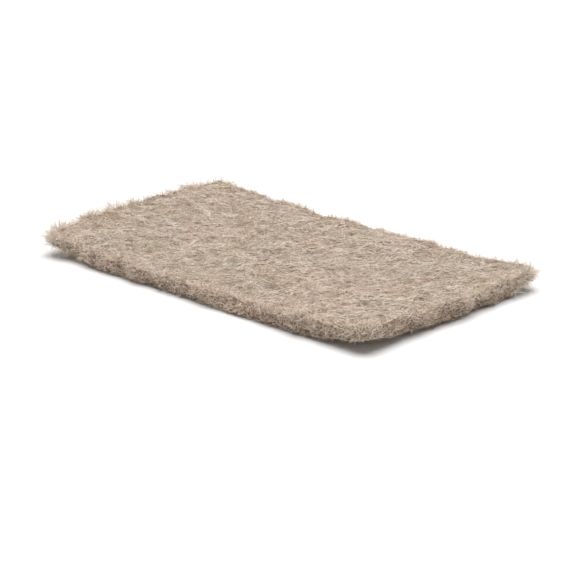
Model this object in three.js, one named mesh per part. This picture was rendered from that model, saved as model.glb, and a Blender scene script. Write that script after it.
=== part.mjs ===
// Sisal scouring pad: one slab of felted plant fibre, cut to a rectangle, with ends that curl up a little.
// Millimetres, +Z up. The pad's length runs along X and its width along Y.
// The origin is on the table, below the middle of the pad.

import * as THREE from "three";
import { mergeVertices } from "three/addons/utils/BufferGeometryUtils.js";
import { ImprovedNoise } from "three/addons/math/ImprovedNoise.js";

// The slab
const PAD_LENGTH = 148;
const PAD_WIDTH = 88;
const PAD_THICKNESS = 6.2; // from the table to the middle of the upper tufts
const CORNER_RADIUS = 3; // of the outline, seen from above
const RIM_RADIUS = 1.4; // of the soft edge, seen in section

// How far the pad has curled off the table, and how far in from an end or a corner the curl begins
const END_REACH = 43;
const ENDS = [
  { x: -1, rise: 3.6 },
  { x: 1, rise: 1.1 },
];
const CORNER_REACH = 52;
const TIP_REACH = 14; // of a corner that turns up only at its very tip
const CORNERS = [
  { x: 1, y: -1, rise: 4.2, reach: CORNER_REACH },
  { x: 1, y: 1, rise: 0.9, reach: CORNER_REACH },
  { x: 1, y: 1, rise: 1.9, reach: TIP_REACH },
  { x: -1, y: 1, rise: -1.2, reach: CORNER_REACH }, // lies lower than the rest of its end
];

// Corners that have frayed thin: the share of thickness lost there, and how far in the fraying begins
const THIN_REACH = 25;
const THIN_CORNERS = [
  { x: -1, y: -1, loss: 0.6, reach: THIN_REACH },
  { x: 1, y: 1, loss: 0.5, reach: TIP_REACH },
  { x: 1, y: -1, loss: 0.35, reach: THIN_REACH },
];

// The felt's relief: broad tufts, the finer nap on them, and the fraying of the cut sides
const TUFT_SIZE = 10;
const TUFT_HEIGHT = 0.9;
const NAP_SIZE = 4.2;
const NAP_HEIGHT = 0.8;
const FRAY_SIZE = 4.7;
const FRAY_DEPTH = 1.6;

// How finely the faces are divided, and how much closer the lines stand at the rim
const LENGTH_STEPS = 57;
const WIDTH_STEPS = 35;
const THICKNESS_STEPS = 4;
const RIM_CROWDING = 0.3;

// The tufts under the pad are pressed flat on the table, so the slab starts thicker by their height
const PRESSED_DEPTH = (TUFT_HEIGHT + NAP_HEIGHT) / 2;
const SLAB_THICKNESS = PAD_THICKNESS + PRESSED_DEPTH;
const cornerRadius = Math.min(CORNER_RADIUS, PAD_LENGTH / 2, PAD_WIDTH / 2);
const rimRadius = Math.min(RIM_RADIUS, SLAB_THICKNESS / 2);

const felt = new THREE.MeshStandardMaterial({ color: 0xbdac9b, roughness: 0.95, metalness: 0 });
const grain = new ImprovedNoise();

// Smooth random values from about -1 to 1 that repeat in no visible pattern, with bumps of the given size
function randomRelief(point, size) {
  return grain.noise(point.x / size, point.y / size, point.z / size);
}

// Rises from 0 to 1 with a level start, as a sheet bends up
function bendUp(share) {
  const t = THREE.MathUtils.clamp(share, 0, 1);
  return t * t;
}

// Moves a coordinate outwards so that the grid lines, even at first, stand closer near +half and -half
function crowdToRim(value, half) {
  const t = value / half;
  return half * t * (1 + RIM_CROWDING * (1 - t * t));
}

// Pulls the square corner beyond (a, b) = (0, 0) in to a quarter circle
function roundCorner(a, b) {
  if (a <= 0 || b <= 0) return 1;
  return Math.max(a, b) / Math.hypot(a, b);
}

// A plain box with divided faces and shared vertices
function dividedBox() {
  const box = new THREE.BoxGeometry(
    PAD_LENGTH,
    PAD_WIDTH,
    SLAB_THICKNESS,
    LENGTH_STEPS,
    WIDTH_STEPS,
    THICKNESS_STEPS,
  );
  box.deleteAttribute("normal");
  box.deleteAttribute("uv");
  return mergeVertices(box);
}

// Rounds the outline's corners, seen from above
function roundOutline(point) {
  const straightX = PAD_LENGTH / 2 - cornerRadius;
  const straightY = PAD_WIDTH / 2 - cornerRadius;
  const beyondX = Math.abs(point.x) - straightX;
  const beyondY = Math.abs(point.y) - straightY;
  const pull = roundCorner(beyondX, beyondY);
  if (pull === 1) return;
  point.x = Math.sign(point.x) * (straightX + beyondX * pull);
  point.y = Math.sign(point.y) * (straightY + beyondY * pull);
}

// The distance in from the outline, seen from above, and the direction straight out of it
function rimAt(point) {
  const beyondX = Math.abs(point.x) - (PAD_LENGTH / 2 - cornerRadius);
  const beyondY = Math.abs(point.y) - (PAD_WIDTH / 2 - cornerRadius);
  const out = new THREE.Vector2(Math.max(beyondX, 0), Math.max(beyondY, 0));
  const reach = out.length() + Math.min(Math.max(beyondX, beyondY), 0);
  if (out.length() > 0) out.normalize();
  out.set(out.x * Math.sign(point.x), out.y * Math.sign(point.y));
  return { inset: cornerRadius - reach, out };
}

// Rounds the upper and lower rims, seen in section
function roundRim(point) {
  const { inset, out } = rimAt(point);
  const beyondSide = rimRadius - inset;
  const beyondFace = Math.abs(point.z) - (SLAB_THICKNESS / 2 - rimRadius);
  const pull = roundCorner(beyondSide, beyondFace);
  if (pull === 1) return;
  const back = beyondSide * (1 - pull);
  point.x -= out.x * back;
  point.y -= out.y * back;
  point.z = Math.sign(point.z) * (SLAB_THICKNESS / 2 - rimRadius + beyondFace * pull);
}

// How far the felt stands above or below its mean surface, more on the frayed sides than on the faces
function feltRelief(point, normal) {
  const sideways = 1 - Math.abs(normal.z);
  return (
    TUFT_HEIGHT * randomRelief(point, TUFT_SIZE) +
    NAP_HEIGHT * randomRelief(point, NAP_SIZE) +
    FRAY_DEPTH * sideways * randomRelief(point, FRAY_SIZE)
  );
}

// How close a place is to a corner, seen from above: 0 at the corner's reach, rising to 1 at the corner
function closeToCorner(point, corner) {
  const away = Math.hypot(
    point.x - (corner.x * PAD_LENGTH) / 2,
    point.y - (corner.y * PAD_WIDTH) / 2,
  );
  return bendUp(1 - away / corner.reach);
}

// How far the pad has curled up at a place, seen from above
function curlAt(point) {
  let rise = 0;
  for (const end of ENDS) {
    const away = PAD_LENGTH / 2 - point.x * end.x;
    rise += end.rise * bendUp(1 - away / END_REACH);
  }
  for (const corner of CORNERS) {
    rise += corner.rise * closeToCorner(point, corner);
  }
  return rise;
}

// The share of its thickness that the pad still has at a place, seen from above
function thicknessAt(point) {
  let share = 1;
  for (const corner of THIN_CORNERS) {
    share -= corner.loss * closeToCorner(point, corner);
  }
  return share;
}

// Runs a change over every vertex of a geometry, with its normal
function reshape(geometry, change) {
  geometry.computeVertexNormals();
  const { position, normal } = geometry.attributes;
  const point = new THREE.Vector3();
  const direction = new THREE.Vector3();
  for (let i = 0; i < position.count; i += 1) {
    point.fromBufferAttribute(position, i);
    direction.fromBufferAttribute(normal, i);
    change(point, direction);
    position.setXYZ(i, point.x, point.y, point.z);
  }
}

// Centres the slab over the origin
function centreOverOrigin(geometry) {
  geometry.computeBoundingBox();
  const middle = geometry.boundingBox.getCenter(new THREE.Vector3());
  geometry.translate(-middle.x, -middle.y, 0);
}

function scouringPad() {
  const slab = dividedBox();
  reshape(slab, (point) => {
    point.x = crowdToRim(point.x, PAD_LENGTH / 2);
    point.y = crowdToRim(point.y, PAD_WIDTH / 2);
    roundOutline(point);
    roundRim(point);
  });
  const middleHeight = PAD_THICKNESS - SLAB_THICKNESS / 2;
  reshape(slab, (point, normal) => {
    point.addScaledVector(normal, feltRelief(point, normal));
    point.z *= thicknessAt(point);
    point.z = Math.max(point.z + middleHeight + curlAt(point), 0);
  });
  centreOverOrigin(slab);
  const pad = new THREE.Mesh(slab, felt);
  pad.name = "scouring_pad";
  return pad;
}

const part = new THREE.Group();
part.add(scouringPad());

export default part;
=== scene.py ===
"""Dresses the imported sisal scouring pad: a felt core, loose fibres over it, a pale floor and soft light."""

import math
from dataclasses import dataclass

import bmesh
import bpy
import numpy as np
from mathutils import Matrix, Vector, noise
from mathutils.bvhtree import BVHTree
from mathutils.kdtree import KDTree


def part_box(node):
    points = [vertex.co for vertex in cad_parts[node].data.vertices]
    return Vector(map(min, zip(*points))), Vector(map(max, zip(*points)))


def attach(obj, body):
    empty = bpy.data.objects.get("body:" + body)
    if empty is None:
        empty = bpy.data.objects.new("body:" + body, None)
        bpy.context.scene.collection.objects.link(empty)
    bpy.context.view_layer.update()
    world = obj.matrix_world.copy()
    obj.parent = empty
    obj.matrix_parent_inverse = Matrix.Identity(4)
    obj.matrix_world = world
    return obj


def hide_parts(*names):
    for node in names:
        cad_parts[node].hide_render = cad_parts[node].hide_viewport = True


MM = 0.001  # in metres, which the scene and the frame use
SEED = 20
TINY = 1e-12  # keeps a division by a length or an area of nothing from failing

# The photograph's camera, which looks down over the pad's front corner through a long lens
CAMERA_AZIMUTH = 42.9  # degrees, from -Y toward +X
CAMERA_ELEVATION = 19.5  # degrees
CAMERA_DISTANCE = 959 * MM
CAMERA_LENS = 170  # mm
CAMERA_SENSOR = 36  # mm across
CAMERA_NEAREST = 0.01  # metres
CAMERA_FARTHEST = 50  # metres
CAMERA_TARGET = Vector((-20.6, 23.0, -16.74)) * MM

# The light: one wide soft lamp, and a sky graded from the horizon, 0, to straight up, 1
LAMP_FROM = Vector((-0.12, 0.14, 1.0))
LAMP_STRENGTH = 3.76
LAMP_WIDTH = 70  # degrees across
SKY_LEVELS = (
    (0.07, (1.0, 1.0, 1.0, 1)),
    (0.1, (0.27, 0.27, 0.27, 1)),
    (1.0, (0.36, 0.36, 0.36, 1)),
)

# The floor
FLOOR_REACH = 6  # metres, each way from the pad
FLOOR_COLOUR = (0.86, 0.86, 0.86, 1)
FLOOR_ROUGHNESS = 0.8
FLOOR_GLOSS = 0.5  # as a new shader has it

# The felt core under the fibres
CORE_VOXEL = 0.95 * MM
MERGE_DISTANCE = 0.001 * MM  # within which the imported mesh's split vertices are joined
FACE_INSET = 0.5 * MM  # room for the fibres that lie on the faces
SIDE_INSET = 0.8 * MM  # more room for the looser fibres of the cut sides
CORE_CLEARANCE = 0.08 * MM  # above the floor
NAP_SIZE = 2.4 * MM
NAP_DEPTH = 0.38 * MM

# The needle marks that are pressed into the upper face
PIT_COUNT = 520
PIT_SKEW = (0.8, 2.4)  # along X and Y: under 1, more of them lie toward +X, and over 1, toward -Y
PIT_RADIUS = (0.7 * MM, 1.5 * MM)
PIT_STRETCH = (0.6, 1.7)  # a factor on the radius along X, by which the one along Y is divided
PIT_DEPTH = (0.6 * MM, 1.5 * MM)
PIT_WARP = 3.4 * MM  # how far their edges stray from an oval
PIT_WARP_SIZE = 2.6 * MM

# Painted shade in the gaps between the fibres of the cut sides, darker toward the lower rim
GAP_SHADE = (0.25, 0.65)  # from 0, as pale as the felt, to 1, darkest: at the upper rim and at the lower
GAP_DROP = (0.8 * MM, 5.0 * MM)  # how far below the upper face those two are reached

# Corners where the felt has come loose and lets light through, shown as painted light on the fibres there:
# which corner, how far the firm felt has drawn back there, and the corner's share of the wisps
LOOSE_REACH = 16 * MM
LOOSE_PAINTED_LIGHT = 0.4  # how much paler the fibres are there
LOOSE_CORNERS = (
    (-1, -1, 0.2 * MM, 0.45),
    (1, 1, 0.1 * MM, 0.35),
    (-1, 1, 0.8 * MM, 0.2),
)

# Which way the felt faces, by the upward part of its normal
FACES_UP = 0.55
FACES_DOWN = -0.55
STEEP = 0.8  # a cut side faces up or down by less than this
FRINGE_END = 0.85  # the end's fringe and the corners' wisps grow where it faces up by less than this
RIM_START = 0.1  # the upper rim's hairs grow where it faces up by more than this
HEM_START = -0.1  # the lower rim's hairs grow where it faces down by more than this
SIDE_END = -0.85  # those hairs, and the gaps of the cut sides, end here under the pad


@dataclass
class Fibres:
    """A family of fibres that lie on the felt in the same way. Lengths are in mm, and a pair is a range."""

    name: str
    place: str  # top, side, hem, rim, end, back, corner or under
    count: int
    points: int  # along each fibre
    length: tuple
    thickness: tuple
    turn: float  # how strongly a fibre curls, in radians for each mm
    crest: tuple = (0, 0)  # height over the felt at the middle of a fibre that lies on it
    tip: tuple = (0, 0)  # height over the felt at the far end of such a fibre
    tone: float = 0.5  # the family's mean, from 0, dark, to 1, pale
    spread: float = 0.4  # of the tones about that mean
    stand: float = 0  # how steeply it stands off the felt with a free end, from 0, lying on it, to 1
    level: float = 0  # how far it is turned to the horizontal, from 0 to 1
    tuft: int = 1  # how many fibres with free ends grow from one place
    # Fibres marked shaded also get painted shade toward the lower rim
    shaded: bool = False  # in the browner colours of the cut sides, and darker toward the lower rim


FAMILIES = (
    Fibres("top_fibres_a", "top", count=8000, points=6, length=(4.5, 12), thickness=(0.10, 0.17),
           turn=0.15, crest=(0.0, 0.5), tip=(-0.5, 0.2), tone=0.43, spread=0.45),
    Fibres("top_fibres_b", "top", count=8000, points=6, length=(4.5, 12), thickness=(0.10, 0.17),
           turn=0.15, crest=(0.0, 0.6), tip=(-0.5, 0.2), tone=0.51, spread=0.45),
    Fibres("top_nap", "top", count=4400, points=7, length=(4.5, 12), thickness=(0.10, 0.17),
           turn=0.15, crest=(0.2, 0.8), tip=(-0.4, 0.6), tone=0.74, spread=0.45),
    Fibres("side_fibres", "side", count=5000, points=5, length=(3.5, 8), thickness=(0.11, 0.17),
           turn=0.24, crest=(0.0, 0.9), tip=(-0.5, 0.7), tone=0.73, level=0.5, shaded=True),
    Fibres("side_hairs", "side", count=3000, points=4, length=(1.4, 3.6), thickness=(0.10, 0.16),
           turn=0.3, tone=0.79, stand=0.4, level=0.3, shaded=True),
    Fibres("edge_hairs", "side", count=3400, points=4, length=(1.4, 3.6), thickness=(0.08, 0.14),
           turn=0.3, tone=0.75, stand=0.7, shaded=True),
    Fibres("hem_hairs", "hem", count=1800, points=4, length=(1.4, 4.6), thickness=(0.10, 0.18),
           turn=0.3, tone=0.72, stand=0.5, tuft=2, shaded=True),
    # The rim hairs and the back fringe are paler partly in their own colour and partly as painted light, for
    # light that shines through thin fuzz at the edges
    Fibres("rim_hairs", "rim", count=6500, points=4, length=(1.2, 3.6), thickness=(0.07, 0.13),
           turn=0.3, tone=0.8, stand=0.5, level=0.3, shaded=True),
    Fibres("end_fringe", "end", count=4200, points=4, length=(1.8, 7.5), thickness=(0.06, 0.11),
           turn=0.45, tone=0.62, stand=0.6, level=0.25, tuft=3),
    Fibres("back_fringe", "back", count=2600, points=4, length=(1.4, 4.4), thickness=(0.05, 0.10),
           turn=0.35, tone=0.85, spread=0.3, stand=0.7),
    Fibres("corner_wisps", "corner", count=1300, points=5, length=(2.2, 5.8), thickness=(0.09, 0.15),
           turn=0.45, tone=0.7, stand=0.6, level=0.2, tuft=2),
    Fibres("under_fibres", "under", count=1200, points=5, length=(4, 9), thickness=(0.12, 0.20),
           turn=0.30, crest=(0.0, 0.5), tip=(-0.4, 0.1)),
)

# Where the fibres grow and how they lie
ROOT_DEPTH = 0.5  # mm below the felt's surface, where each fibre starts
TIP_SKEW = 1.6  # over 1, most fibres end low or short and a few stand far out
RIM_REACH = 6 * MM  # in from the outline, where the fringe of the upper rim grows
END_REACH = 8 * MM  # in from the end at -X, where the fringe is thickest
BACK_REACH = 6 * MM  # in from the side at +Y, where a thinner fringe grows
SPARE_FIBRES = 1.5  # how many are laid on the top for each one kept, to keep off the needle marks
WAVE_STEP = 1.3  # radians, by which the wave of a fibre that lies on the felt moves on at each point
STEEPNESS = (0.5, 1.3)  # a factor on the family's stand, which differs from tuft to tuft
MOST_BEND = 1.1  # radians, from the root to the tip of a fibre that stands off the felt
TUFT_SPREAD = 0.5  # mm, between the roots of a tuft's fibres
TUFT_LOOSENESS = 0.6  # how much the fibres of a tuft differ in direction
DROOP = 0.55  # the share of its height or length that a fibre loses where it hangs straight down
LOWEST_PATH = 0.1 * MM  # how low a fibre's middle line may run over the floor

# A fibre's section, and its strips in the map, where each fibre has its own cell
SIDES = 3
END_THICKNESS = 0.65  # the share of its thickness that a fibre still has toward its ends
CELL_FILL = 0.94  # the share of its cell in the map that a fibre fills
STRIP_GAP = 0.1  # the share of a strip that is left free along each of its edges

# Fibre tones, from 0, dark, to 1, pale
PATCH_SIZE = 5.5 * MM  # of the patches where the fibres are a little darker or paler
PATCH_PALENESS = 0.2  # by how much at most
# Painted shade on the fibres of the top that cross the needle marks
PIT_SHADE = 0.8  # how much darker a fibre of the top is that crosses the deepest needle mark
# Painted shade on the fibres of the cut sides toward the lower rim
LOWER_SHADE = 0.1  # how much darker the fibres of the sides are at the lower rim than at the upper
ODD_SHARE = 0.02  # of the fibres have an odd tint
ODD_TONES = (0.92, 1.0)  # the end of the range, which is left for them

# Fibre colours at these tones, from the darkest to the palest, and then the odd tints, grey and pink
PLAIN_TONES = (0.0, 0.25, 0.6, 0.9)
TOP_COLOURS = ((148, 127, 109), (207, 189, 172), (236, 221, 205), (248, 237, 224))
SIDE_COLOURS = ((120, 90, 68), (194, 166, 144), (240, 219, 200), (252, 238, 224))
ODD_COLOURS = (
    (0.91, (196, 194, 186)),
    (0.97, (196, 194, 186)),
    (0.98, (222, 178, 168)),
    (1.0, (214, 160, 150)),
)
FIBRE_ROUGHNESS = 0.7
FIBRE_GLOSS = 0.25
TINT_SIZE = 16 * MM  # of the patches that lean a little to grey-green or to pink
TINTS = (
    (0.35, (250, 251, 247)),
    (0.5, (255, 255, 255)),
    (0.65, (255, 252, 249)),
)

# The felt's colours, painted darker than the fibres as shade deep among them, and its fine strands
FELT_SHADES = (
    (0.3, (112, 98, 83)),
    (0.5, (172, 155, 137)),
    (0.7, (214, 200, 181)),
)
# Painted shade in the deepest marks and gaps
PAINTED_SHADE_COLOUR = (86, 66, 50)  # in the deepest marks and gaps
FELT_ROUGHNESS = 0.9
FELT_GLOSS = 0.2
STRAND_SIZE = 0.9 * MM
STRAND_DETAIL = 5.0
STRAND_HARSHNESS = 0.65
STRAND_DISTORTION = 2.5
BUMP_STRENGTH = 0.8
BUMP_HEIGHT = 0.4 * MM


# Felt core

def merged_copy(node):
    """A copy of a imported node's mesh with its split vertices joined."""
    work = bmesh.new()
    work.from_mesh(node.data)
    bmesh.ops.remove_doubles(work, verts=work.verts, dist=MERGE_DISTANCE)
    mesh = bpy.data.meshes.new("pad_core")
    work.to_mesh(mesh)
    work.free()
    return mesh


def evenly_divided(mesh):
    """An object that holds the mesh, rebuilt in small even squares."""
    rough = bpy.data.objects.new("rough_core", mesh)
    bpy.context.scene.collection.objects.link(rough)
    remesh = rough.modifiers.new("even squares", "REMESH")
    remesh.mode = "VOXEL"
    remesh.voxel_size = CORE_VOXEL
    remesh.use_smooth_shade = True
    graph = bpy.context.evaluated_depsgraph_get()
    even = bpy.data.meshes.new_from_object(rough.evaluated_get(graph))
    bpy.data.objects.remove(rough)
    even.name = "pad_core"
    core = bpy.data.objects.new("pad_core", even)
    bpy.context.scene.collection.objects.link(core)
    return core


def pits_over(places, low, high, rng):
    """How deep the needle marks have pressed each place in, seen from above."""
    depth = np.zeros(len(places))
    warped = places + PIT_WARP * np.array([noise.noise_vector(place) for place in places / PIT_WARP_SIZE])
    spots = rng.uniform(0, 1, (PIT_COUNT, 2)) ** PIT_SKEW
    middles = np.array(low[:2]) + spots * (np.array(high[:2]) - np.array(low[:2]))
    radii = rng.uniform(*PIT_RADIUS, PIT_COUNT)
    depths = rng.uniform(*PIT_DEPTH, PIT_COUNT)
    stretches = rng.uniform(*PIT_STRETCH, PIT_COUNT)
    for middle, radius, deepest, stretch in zip(middles, radii, depths, stretches):
        away = (warped[:, :2] - middle) / (radius * stretch, radius / stretch)
        share = np.clip(1 - (away ** 2).sum(1), 0, 1)
        depth = np.maximum(depth, deepest * share ** 2)
    return depth


def uneven(places, size):
    """Smooth random values at these places, from about -1 to 1, that change over about this size."""
    return np.array([noise.noise(place) for place in places / size])


def toward_corner(places, low, high, side_x, side_y):
    """How close each place is to a corner, seen from above: 1 at the corner, 0 beyond its reach."""
    corner = np.array((high[0] if side_x > 0 else low[0], high[1] if side_y > 0 else low[1]))
    away = np.linalg.norm(places[:, :2] - corner, axis=1)
    return np.clip(1 - away / LOOSE_REACH, 0, 1)


def draw_back_corners(places, low, high):
    """Moves the firm felt in from the corners that have come loose."""
    moved = places.copy()
    for side_x, side_y, depth, _ in LOOSE_CORNERS:
        pull = depth * toward_corner(places, low, high, side_x, side_y) ** 2 / math.sqrt(2)
        moved[:, 0] -= side_x * pull
        moved[:, 1] -= side_y * pull
    return moved


def below_upper_face(places, normals):
    """How far each place lies below the nearest place of the upper face, seen from above."""
    upper = places[normals[:, 2] > FACES_UP]
    tree = KDTree(len(upper))
    for number, (x, y, _) in enumerate(upper):
        tree.insert((x, y, 0), number)
    tree.balance()
    nearest = [tree.find((x, y, 0))[1] for x, y, _ in places]
    return upper[nearest, 2] - places[:, 2]


def toward_lower_rim(drops):
    """Rises from 0 at the upper rim to 1 at the lower, by how far places lie below the upper face."""
    return np.clip((drops - GAP_DROP[0]) / (GAP_DROP[1] - GAP_DROP[0]), 0, 1)


def felt_core(node, rng):
    """The pad's body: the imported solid's form, a little smaller all round, with nap and needle marks."""
    core = evenly_divided(merged_copy(node))
    mesh = core.data
    count = len(mesh.vertices)
    places = np.zeros(count * 3)
    normals = np.zeros(count * 3)
    mesh.vertices.foreach_get("co", places)
    mesh.vertex_normals.foreach_get("vector", normals)
    places = places.reshape(-1, 3)
    normals = normals.reshape(-1, 3)
    low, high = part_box(node.name)
    pits = pits_over(places, low, high, rng) * (normals[:, 2] > FACES_UP)
    inset = FACE_INSET + pits + NAP_DEPTH * uneven(places, NAP_SIZE)
    places -= normals * inset[:, None]
    places[:, :2] -= normals[:, :2] * SIDE_INSET
    places = draw_back_corners(places, low, high)
    places[:, 2] = np.maximum(places[:, 2], CORE_CLEARANCE)
    mesh.vertices.foreach_set("co", places.ravel())
    drops = below_upper_face(places, normals)
    # Painted shade for the gaps of the cut sides, darker toward the lower rim; the felt's material mixes it,
    # or the marks' depth, to the painted shade colour
    on_side = (normals[:, 2] < FACES_UP) * (normals[:, 2] > SIDE_END)
    gaps = on_side * (GAP_SHADE[0] + (GAP_SHADE[1] - GAP_SHADE[0]) * toward_lower_rim(drops))
    # Less painted shade toward the loose corners, for the light that comes through there
    for side_x, side_y, _, _ in LOOSE_CORNERS:
        gaps *= 1 - toward_corner(places, low, high, side_x, side_y)
    for name, values in (("depth", np.maximum(pits / PIT_DEPTH[1], gaps)), ("drop", drops)):
        mesh.attributes.new(name, "FLOAT", "POINT").data.foreach_set("value", values)
    mesh.update()
    return core


# Fibres

class Felt:
    """The core's surface, to root fibres in and lay them along."""

    def __init__(self, mesh, low, high):
        self.low = np.array(low)
        self.high = np.array(high)
        mesh.calc_loop_triangles()
        places = np.array([vertex.co for vertex in mesh.vertices])
        corners = np.array([triangle.vertices for triangle in mesh.loop_triangles])
        self.corners = places[corners]
        sides = self.corners[:, 1:] - self.corners[:, :1]
        across = np.cross(sides[:, 0], sides[:, 1])
        self.areas = np.linalg.norm(across, axis=1) / 2
        self.normals = across / np.maximum(2 * self.areas, TINY)[:, None]
        self.depths = self.over_triangles(mesh, "depth", corners)
        self.drops = self.over_triangles(mesh, "drop", corners)
        self.tree = BVHTree.FromPolygons(places.tolist(), corners.tolist(), all_triangles=True)

    @staticmethod
    def over_triangles(mesh, name, corners):
        """A value that the mesh holds at its vertices, as the mean over each triangle."""
        values = np.zeros(len(mesh.vertices))
        mesh.attributes[name].data.foreach_get("value", values)
        return values[corners].mean(1)

    def share_of(self, place):
        """How much of each triangle a family of fibres may root in."""
        up = self.normals[:, 2]
        upper_side = (up > 0) * (up < FRINGE_END)
        return {
            "top": up > FACES_UP,
            "under": up < FACES_DOWN,
            "side": np.abs(up) < STEEP,
            "hem": (up < HEM_START) * (up > SIDE_END),
            "rim": (up > RIM_START) * self.close_to_outline(),
            "end": upper_side * self.close_to_edge(0, -1, END_REACH) * self.close_to_outline(),
            "back": (up > 0) * self.close_to_edge(1, 1, BACK_REACH),
            "corner": self.looseness() * (up > FACES_DOWN) * (up < FRINGE_END),
        }[place]

    def close_to_outline(self):
        """How close each triangle is to the outline, seen from above: 1 at the outline, 0 beyond reach."""
        middles = self.corners.mean(1)
        inward = np.minimum(middles - self.low, self.high - middles)[:, :2].min(1)
        return np.clip(1 - inward / RIM_REACH, 0, 1)

    def close_to_edge(self, axis, side, reach):
        """How close each triangle is to one edge of the outline: 1 at that edge, 0 beyond its reach."""
        middles = self.corners[:, :, axis].mean(1)
        away = self.high[axis] - middles if side > 0 else middles - self.low[axis]
        return np.clip(1 - away / reach, 0, 1)

    def looseness(self):
        """How loose the felt is at each triangle: most at the corners with the most wisps."""
        middles = self.corners.mean(1)
        loose = np.zeros(len(middles))
        for side_x, side_y, _, wisps in LOOSE_CORNERS:
            loose += wisps * toward_corner(middles, self.low, self.high, side_x, side_y)
        return loose

    def paleness_and_painted_light(self, places):
        """How much paler the fibres are that start at these places: in patches, and as painted light at loose
        corners.
        """
        pale = PATCH_PALENESS * uneven(places, PATCH_SIZE)
        for side_x, side_y, _, _ in LOOSE_CORNERS:
            pale += LOOSE_PAINTED_LIGHT * toward_corner(places, self.low, self.high, side_x, side_y)
        return pale

    def roots(self, place, count, rng):
        """Random places, even over the felt's area, with their normals and drops below the upper face."""
        weights = self.areas * self.share_of(place)
        chosen = rng.choice(len(weights), count, p=weights / weights.sum())
        mix = rng.dirichlet((1, 1, 1), count)
        places = (self.corners[chosen] * mix[:, :, None]).sum(1)
        return places, self.normals[chosen], self.drops[chosen]

    def nearest(self, places):
        """The nearest places on the felt, with the normals there and how deep a mark is there or how much
        painted shade a side gap has.
        """
        found = [self.tree.find_nearest(place) for place in places.tolist()]
        depths = self.depths[[hit[2] for hit in found]]
        return np.array([hit[0] for hit in found]), np.array([hit[1] for hit in found]), depths


def unit(vectors):
    """The same directions, one unit long."""
    lengths = np.linalg.norm(vectors, axis=-1, keepdims=True)
    return vectors / np.maximum(lengths, TINY)


def along_surface(directions, normals):
    """The directions with what points into or out of the surface taken away."""
    inward = (directions * normals).sum(-1, keepdims=True)
    return unit(directions - inward * normals)


def wander(felt, family, rng):
    """Walks each fibre over the felt in even steps, and on the top keeps those that stay off the marks.

    Gives the places along each fibre, the normals there, its root's drop and how much painted shade darkens
    it.
    """
    on_top = family.place == "top"
    count = math.ceil(family.count * SPARE_FIBRES) if on_top else family.count
    place, normal, drop = felt.roots(family.place, count, rng)
    random_way = along_surface(rng.normal(size=(count, 3)), normal)
    heading = along_surface(random_way * (1, 1, 1 - family.level), normal)
    step = rng.uniform(*family.length, count) * MM / (family.points - 1)
    steady = rng.normal(0, family.turn, count) / MM
    wave = rng.normal(0, family.turn, count) / MM
    phase = rng.uniform(0, 2 * math.pi, count)
    places = [place]
    normals = [normal]
    deepest = np.zeros(count)
    for number in range(family.points - 1):
        angle = ((steady + wave * np.sin(phase + WAVE_STEP * number)) * step)[:, None]
        turned = heading * np.cos(angle) + np.cross(normal, heading) * np.sin(angle)
        place, normal, depth = felt.nearest(place + turned * step[:, None])
        deepest = np.maximum(deepest, depth)
        heading = along_surface(turned, normal)
        places.append(place)
        normals.append(normal)
    kept = np.argsort(deepest, kind="stable")[:family.count]
    # Painted shade on the fibres of the top, by the deepest mark each one crosses
    shade = PIT_SHADE * deepest if on_top else np.zeros(count)
    return np.stack(places, 1)[kept], np.stack(normals, 1)[kept], drop[kept], shade[kept]


def stand_out(felt, family, rng):
    """Fibres that leave the felt in tufts and end in the air, with one soft bend.

    Gives the same as wander does. The bend is an arc by the first terms of its sine and cosine.
    """
    count = family.count
    tufts = math.ceil(count / family.tuft)
    place, normal, drop = felt.roots(family.place, tufts, rng)
    random_way = along_surface(rng.normal(size=(tufts, 3)), normal)
    steepness = family.stand * rng.uniform(*STEEPNESS, (tufts, 1))
    way = steepness * normal + (1 - np.minimum(steepness, 1)) * random_way
    way = unit(way * (1, 1, 1 - family.level))
    member = np.arange(count) // family.tuft
    place, normal, drop, way = place[member], normal[member], drop[member], way[member]
    aside = along_surface(rng.normal(size=(count, 3)), normal)
    place = place + aside * rng.normal(0, TUFT_SPREAD, (count, 1)) * MM
    way = unit(way + TUFT_LOOSENESS * rng.normal(size=(count, 3)))
    bend_way = along_surface(rng.normal(size=(count, 3)), way)
    shortest, longest = family.length
    length = shortest + (longest - shortest) * rng.uniform(0, 1, (count, 1)) ** TIP_SKEW
    length *= 1 - DROOP * np.clip(-way[:, 2:], 0, 1)
    bend = np.clip(length * rng.normal(0, family.turn, (count, 1)), -MOST_BEND, MOST_BEND)
    along = np.linspace(0, 1, family.points)[None, :, None]
    forward = way[:, None] * (along - (bend[:, None] * along) ** 2 * along / 6)
    run = forward + bend_way[:, None] * bend[:, None] * along ** 2 / 2
    paths = place[:, None] + (run * length[:, None] - normal[:, None] * ROOT_DEPTH * (1 - along)) * MM
    roots = np.repeat(normal[:, None], family.points, axis=1)
    return paths, roots, drop, np.zeros(count)


def heights(family, normals, rng):
    """How high each fibre that lies on the felt runs over it at each of its points, in metres."""
    count = family.count
    along = np.linspace(0, 1, family.points)
    crest = rng.uniform(*family.crest, (count, 1))
    lowest, highest = family.tip
    tip = lowest + (highest - lowest) * rng.uniform(0, 1, (count, 1)) ** TIP_SKEW
    rise = -ROOT_DEPTH * (1 - along) ** 2 + 4 * crest * along * (1 - along) + tip * along ** 2
    facing_down = np.clip(-normals[..., 2], 0, 1)
    return np.where(rise > 0, rise * (1 - DROOP * facing_down), rise) * MM


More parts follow.
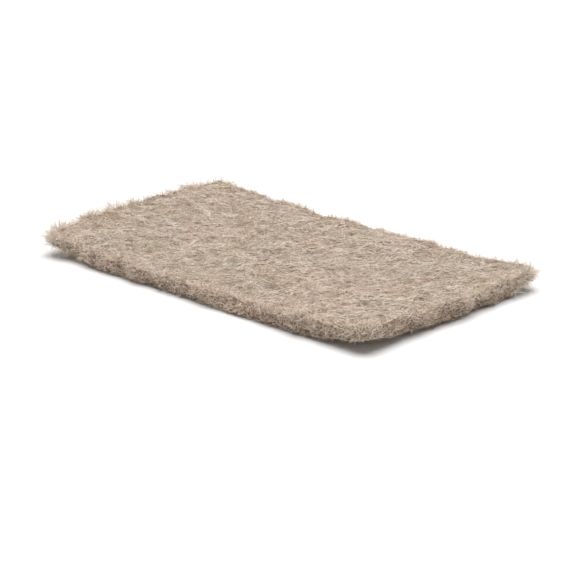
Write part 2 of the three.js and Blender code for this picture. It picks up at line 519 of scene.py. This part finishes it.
def tube_faces(rings):
    """One fibre's faces, as four-cornered sides and three-cornered ends, and their places in a unit map."""
    start = rings * SIDES
    end = start + 1
    sides, side_map, ends, end_map = [], [], [], []
    width = 1 / SIDES
    gap = STRIP_GAP * width
    for ring in range(rings - 1):
        here = (ring + 1) / (rings + 1)
        there = (ring + 2) / (rings + 1)
        for side in range(SIDES):
            one = ring * SIDES + side
            two = ring * SIDES + (side + 1) % SIDES
            low = side * width + gap
            high = (side + 1) * width - gap
            sides.append((one, two, two + SIDES, one + SIDES))
            side_map.append(((here, low), (here, high), (there, high), (there, low)))
    first = 1 / (rings + 1)
    last = rings / (rings + 1)
    bottom = (rings - 1) * SIDES
    for side in range(SIDES):
        following = (side + 1) % SIDES
        low = side * width + gap
        high = (side + 1) * width - gap
        middle = (low + high) / 2
        ends.append((following, side, start))
        end_map.append(((first, high), (first, low), (0, middle)))
        ends.append((bottom + side, bottom + following, end))
        end_map.append(((last, low), (last, high), (1, middle)))
    return np.array(sides), np.array(side_map), np.array(ends), np.array(end_map)


def tube_corners(paths, normals, family, rng):
    """The vertices of every fibre: rings along its path and a point at each end."""
    count = family.count
    forward = unit(np.gradient(paths, axis=1))
    sideways = unit(np.cross(forward, normals))
    upward = np.cross(sideways, forward)
    radius = rng.uniform(*family.thickness, (count, 1)) * MM / 2
    along = np.linspace(0, 1, family.points)[1:-1]
    taper = END_THICKNESS + (1 - END_THICKNESS) * np.sin(math.pi * along)
    roll = rng.uniform(0, 2 * math.pi, (count, 1, 1))
    angle = roll + np.arange(SIDES) * 2 * math.pi / SIDES
    around = (
        np.cos(angle)[..., None] * sideways[:, 1:-1, None]
        + np.sin(angle)[..., None] * upward[:, 1:-1, None]
    )
    rings = paths[:, 1:-1, None] + around * (radius * taper)[:, :, None, None]
    corners = np.concatenate([rings.reshape(count, -1, 3), paths[:, :1], paths[:, -1:]], axis=1)
    corners[..., 2] = np.maximum(corners[..., 2], 0)
    return corners


def map_cells(count):
    """The corner of each fibre's own cell in a square map, and the width that it fills there."""
    columns = math.ceil(math.sqrt(count))
    number = np.arange(count)
    return np.stack([number % columns, number // columns], 1) / columns, CELL_FILL / columns


def fibre_mesh(family, corners):
    """A mesh of the fibres with these vertices, in which each fibre has its own place in the map."""
    sides, side_map, ends, end_map = tube_faces(family.points - 2)
    first = (np.arange(family.count) * corners.shape[1])[:, None, None]
    faces = (sides + first).reshape(-1, 4).tolist() + (ends + first).reshape(-1, 3).tolist()
    mesh = bpy.data.meshes.new(family.name)
    mesh.from_pydata(corners.reshape(-1, 3).tolist(), [], faces)
    cells, width = map_cells(family.count)
    spots = [(cells[:, None, None] + part * width).reshape(-1, 2) for part in (side_map, end_map)]
    layer = mesh.uv_layers.new(name="OFBake")
    layer.uv.foreach_set("vector", np.concatenate(spots).ravel())
    mesh.shade_smooth()
    return mesh


def tones(family, drops, paleness_and_painted_light, rng):
    """Each fibre's tone from 0, dark, to 1, pale. The end of the range is left for the odd tints."""
    count = family.count
    # Painted shade toward the lower rim of the cut sides
    shade = LOWER_SHADE * toward_lower_rim(drops) if family.shaded else 0
    plain = np.clip(rng.normal(family.tone, family.spread, count) + paleness_and_painted_light - shade, 0, PLAIN_TONES[-1])
    odd = rng.uniform(0, 1, count) < ODD_SHARE
    return np.where(odd, rng.uniform(*ODD_TONES, count), plain)


def fibre_piece(felt, family, material, rng):
    """All the fibres of a family as one piece, with each fibre's tone."""
    if family.stand:
        paths, normals, drops, shade = stand_out(felt, family, rng)
    else:
        places, normals, drops, shade = wander(felt, family, rng)
        paths = places + normals * heights(family, normals, rng)[..., None]
    paths[..., 2] = np.maximum(paths[..., 2], LOWEST_PATH)
    corners = tube_corners(paths, normals, family, rng)
    mesh = fibre_mesh(family, corners)
    # Besides the patches: painted light at the loose corners and painted shade from the needle marks
    fibre_tones = tones(family, drops, felt.paleness_and_painted_light(paths[:, 0]) - shade, rng)
    tone = mesh.attributes.new("tone", "FLOAT", "POINT")
    tone.data.foreach_set("value", np.repeat(fibre_tones, corners.shape[1]))
    mesh.materials.append(material)
    piece = bpy.data.objects.new(family.name, mesh)
    bpy.context.scene.collection.objects.link(piece)
    return piece


# Materials

def srgb(red, green, blue):
    """A colour as a picture gives it, from 0 to 255, in the linear values that shaders take."""
    values = []
    for level in (red, green, blue):
        share = level / 255
        values.append(share / 12.92 if share <= 0.04045 else ((share + 0.055) / 1.055) ** 2.4)
    return (*values, 1.0)


def linear(stops):
    """The stops of a ramp with their colours, which are as a picture gives them, in linear values."""
    return [(place, srgb(*colour)) for place, colour in stops]


def new_material(name, roughness, gloss):
    """A material with a shader this rough and glossy, and its nodes and links."""
    material = bpy.data.materials.new(name)
    material.use_nodes = True
    nodes = material.node_tree.nodes
    shader = nodes["Principled BSDF"]
    shader.inputs["Roughness"].default_value = roughness
    shader.inputs["Specular IOR Level"].default_value = gloss
    return material, shader, nodes, material.node_tree.links


def ramp_of(nodes, stops):
    """A colour ramp with these places and colours."""
    ramp = nodes.new("ShaderNodeValToRGB")
    elements = ramp.color_ramp.elements
    while len(elements) < len(stops):
        elements.new(0.5)  # anywhere, because every stop is placed below
    for element, (place, colour) in zip(elements, stops):
        element.position = place
        element.color = colour
    return ramp


def noise_of(nodes, links, size, detail=2.0, roughness=0.5):
    """Random values over the felt, with patches of about this size in metres."""
    where = nodes.new("ShaderNodeTexCoord")
    texture = nodes.new("ShaderNodeTexNoise")
    texture.inputs["Scale"].default_value = 1 / size
    texture.inputs["Detail"].default_value = detail
    texture.inputs["Roughness"].default_value = roughness
    links.new(where.outputs["Object"], texture.inputs["Vector"])
    return texture


def mixed(nodes, links, kind, factor, one, two):
    """Two colours mixed by a value or by a fixed share."""
    mix = nodes.new("ShaderNodeMix")
    mix.data_type = "RGBA"
    mix.blend_type = kind
    # The sockets for colours go by number, because those for other types have the same names
    for socket, value in zip((mix.inputs[0], mix.inputs[6], mix.inputs[7]), (factor, one, two)):
        if isinstance(value, bpy.types.NodeSocket):
            links.new(value, socket)
        else:
            socket.default_value = value
    return mix.outputs[2]


def attribute_of(nodes, name):
    """A value that the mesh holds at its vertices."""
    attribute = nodes.new("ShaderNodeAttribute")
    attribute.attribute_name = name
    return attribute.outputs["Fac"]


def fibre_material(name, colours):
    """Sisal fibres: beige and straw, each with its own tone, in patches that lean to pink or grey-green."""
    material, shader, nodes, links = new_material(name, FIBRE_ROUGHNESS, FIBRE_GLOSS)
    ramp = ramp_of(nodes, linear((*zip(PLAIN_TONES, colours), *ODD_COLOURS)))
    links.new(attribute_of(nodes, "tone"), ramp.inputs["Fac"])
    patches = noise_of(nodes, links, TINT_SIZE)
    tint = ramp_of(nodes, linear(TINTS))
    links.new(patches.outputs["Fac"], tint.inputs["Fac"])
    colour = mixed(nodes, links, "MULTIPLY", 1.0, ramp.outputs["Color"], tint.outputs["Color"])
    links.new(colour, shader.inputs["Base Color"])
    return material


def felt_material():
    """The felt between the fibres: darker, as painted shade deep among them, with fine strands that only its
    bumps and tones show.
    """
    material, shader, nodes, links = new_material("sisal_felt", FELT_ROUGHNESS, FELT_GLOSS)
    strands = noise_of(nodes, links, STRAND_SIZE, STRAND_DETAIL, STRAND_HARSHNESS)
    strands.inputs["Distortion"].default_value = STRAND_DISTORTION
    shades = ramp_of(nodes, linear(FELT_SHADES))
    links.new(strands.outputs["Fac"], shades.inputs["Fac"])
    # Painted shade, darker in the deeper needle marks and in the gaps of the cut sides
    depth = attribute_of(nodes, "depth")
    colour = mixed(nodes, links, "MIX", depth, shades.outputs["Color"], srgb(*PAINTED_SHADE_COLOUR))
    links.new(colour, shader.inputs["Base Color"])
    bump = nodes.new("ShaderNodeBump")
    bump.inputs["Strength"].default_value = BUMP_STRENGTH
    bump.inputs["Distance"].default_value = BUMP_HEIGHT
    links.new(strands.outputs["Fac"], bump.inputs["Height"])
    links.new(bump.outputs["Normal"], shader.inputs["Normal"])
    return material


# Stage

def photo_camera():
    """The camera at the photograph's viewing angle."""
    lens = bpy.data.cameras.new("camera")
    lens.lens = CAMERA_LENS
    lens.sensor_width = CAMERA_SENSOR
    lens.clip_start = CAMERA_NEAREST
    lens.clip_end = CAMERA_FARTHEST
    camera = bpy.data.objects.new("camera", lens)
    azimuth = math.radians(CAMERA_AZIMUTH)
    elevation = math.radians(CAMERA_ELEVATION)
    level = math.cos(elevation)
    back = Vector((math.sin(azimuth) * level, -math.cos(azimuth) * level, math.sin(elevation)))
    camera.location = CAMERA_TARGET + back * CAMERA_DISTANCE
    camera.rotation_mode = "QUATERNION"
    camera.rotation_quaternion = (-back).to_track_quat("-Z", "Y")
    bpy.context.scene.collection.objects.link(camera)
    bpy.context.scene.camera = camera


def pale_floor():
    """A wide plain floor under the pad."""
    reach = FLOOR_REACH
    mesh = bpy.data.meshes.new("floor")
    corners = [(-reach, -reach, 0), (reach, -reach, 0), (reach, reach, 0), (-reach, reach, 0)]
    mesh.from_pydata(corners, [], [(0, 1, 2, 3)])
    material, shader, _, _ = new_material("floor", FLOOR_ROUGHNESS, FLOOR_GLOSS)
    shader.inputs["Base Color"].default_value = FLOOR_COLOUR
    mesh.materials.append(material)
    floor = bpy.data.objects.new("floor", mesh)
    bpy.context.scene.collection.objects.link(floor)


def overhead_lamp():
    """One wide soft light from above and a little behind the pad."""
    data = bpy.data.lights.new("overhead", "SUN")
    data.energy = LAMP_STRENGTH
    data.angle = math.radians(LAMP_WIDTH)
    lamp = bpy.data.objects.new("overhead", data)
    lamp.location = LAMP_FROM
    lamp.rotation_mode = "QUATERNION"
    lamp.rotation_quaternion = LAMP_FROM.to_track_quat("Z", "Y")
    bpy.context.scene.collection.objects.link(lamp)


def studio_sky():
    """A dim even sky that is white only close to the horizon."""
    world = bpy.data.worlds.new("sky")
    world.use_nodes = True
    nodes = world.node_tree.nodes
    links = world.node_tree.links
    where = nodes.new("ShaderNodeTexCoord")
    split = nodes.new("ShaderNodeSeparateXYZ")
    ramp = ramp_of(nodes, SKY_LEVELS)
    links.new(where.outputs["Generated"], split.inputs["Vector"])
    links.new(split.outputs["Z"], ramp.inputs["Fac"])
    links.new(ramp.outputs["Color"], nodes["Background"].inputs["Color"])
    bpy.context.scene.world = world


# The pad

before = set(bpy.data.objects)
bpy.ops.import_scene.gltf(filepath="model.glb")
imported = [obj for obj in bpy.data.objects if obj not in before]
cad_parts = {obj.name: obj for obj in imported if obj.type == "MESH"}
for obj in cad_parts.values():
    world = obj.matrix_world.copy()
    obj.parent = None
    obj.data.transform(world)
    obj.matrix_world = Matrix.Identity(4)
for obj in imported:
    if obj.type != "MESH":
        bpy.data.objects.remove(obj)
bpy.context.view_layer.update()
rng = np.random.default_rng(SEED)
noise.seed_set(SEED)

pad_core = felt_core(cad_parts["scouring_pad"], rng)
pad_core.data.materials.clear()
pad_core.data.materials.append(felt_material())
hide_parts("scouring_pad")
pieces = [pad_core]

felt = Felt(pad_core.data, *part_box("scouring_pad"))
top_strand = fibre_material("sisal_fibre", TOP_COLOURS)
side_strand = fibre_material("sisal_side_fibre", SIDE_COLOURS)
for family in FAMILIES:
    pieces.append(fibre_piece(felt, family, side_strand if family.shaded else top_strand, rng))

for piece in pieces:
    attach(piece, "root")

photo_camera()
pale_floor()
overhead_lamp()
studio_sky()
bpy.context.scene.view_settings.view_transform = "Standard"
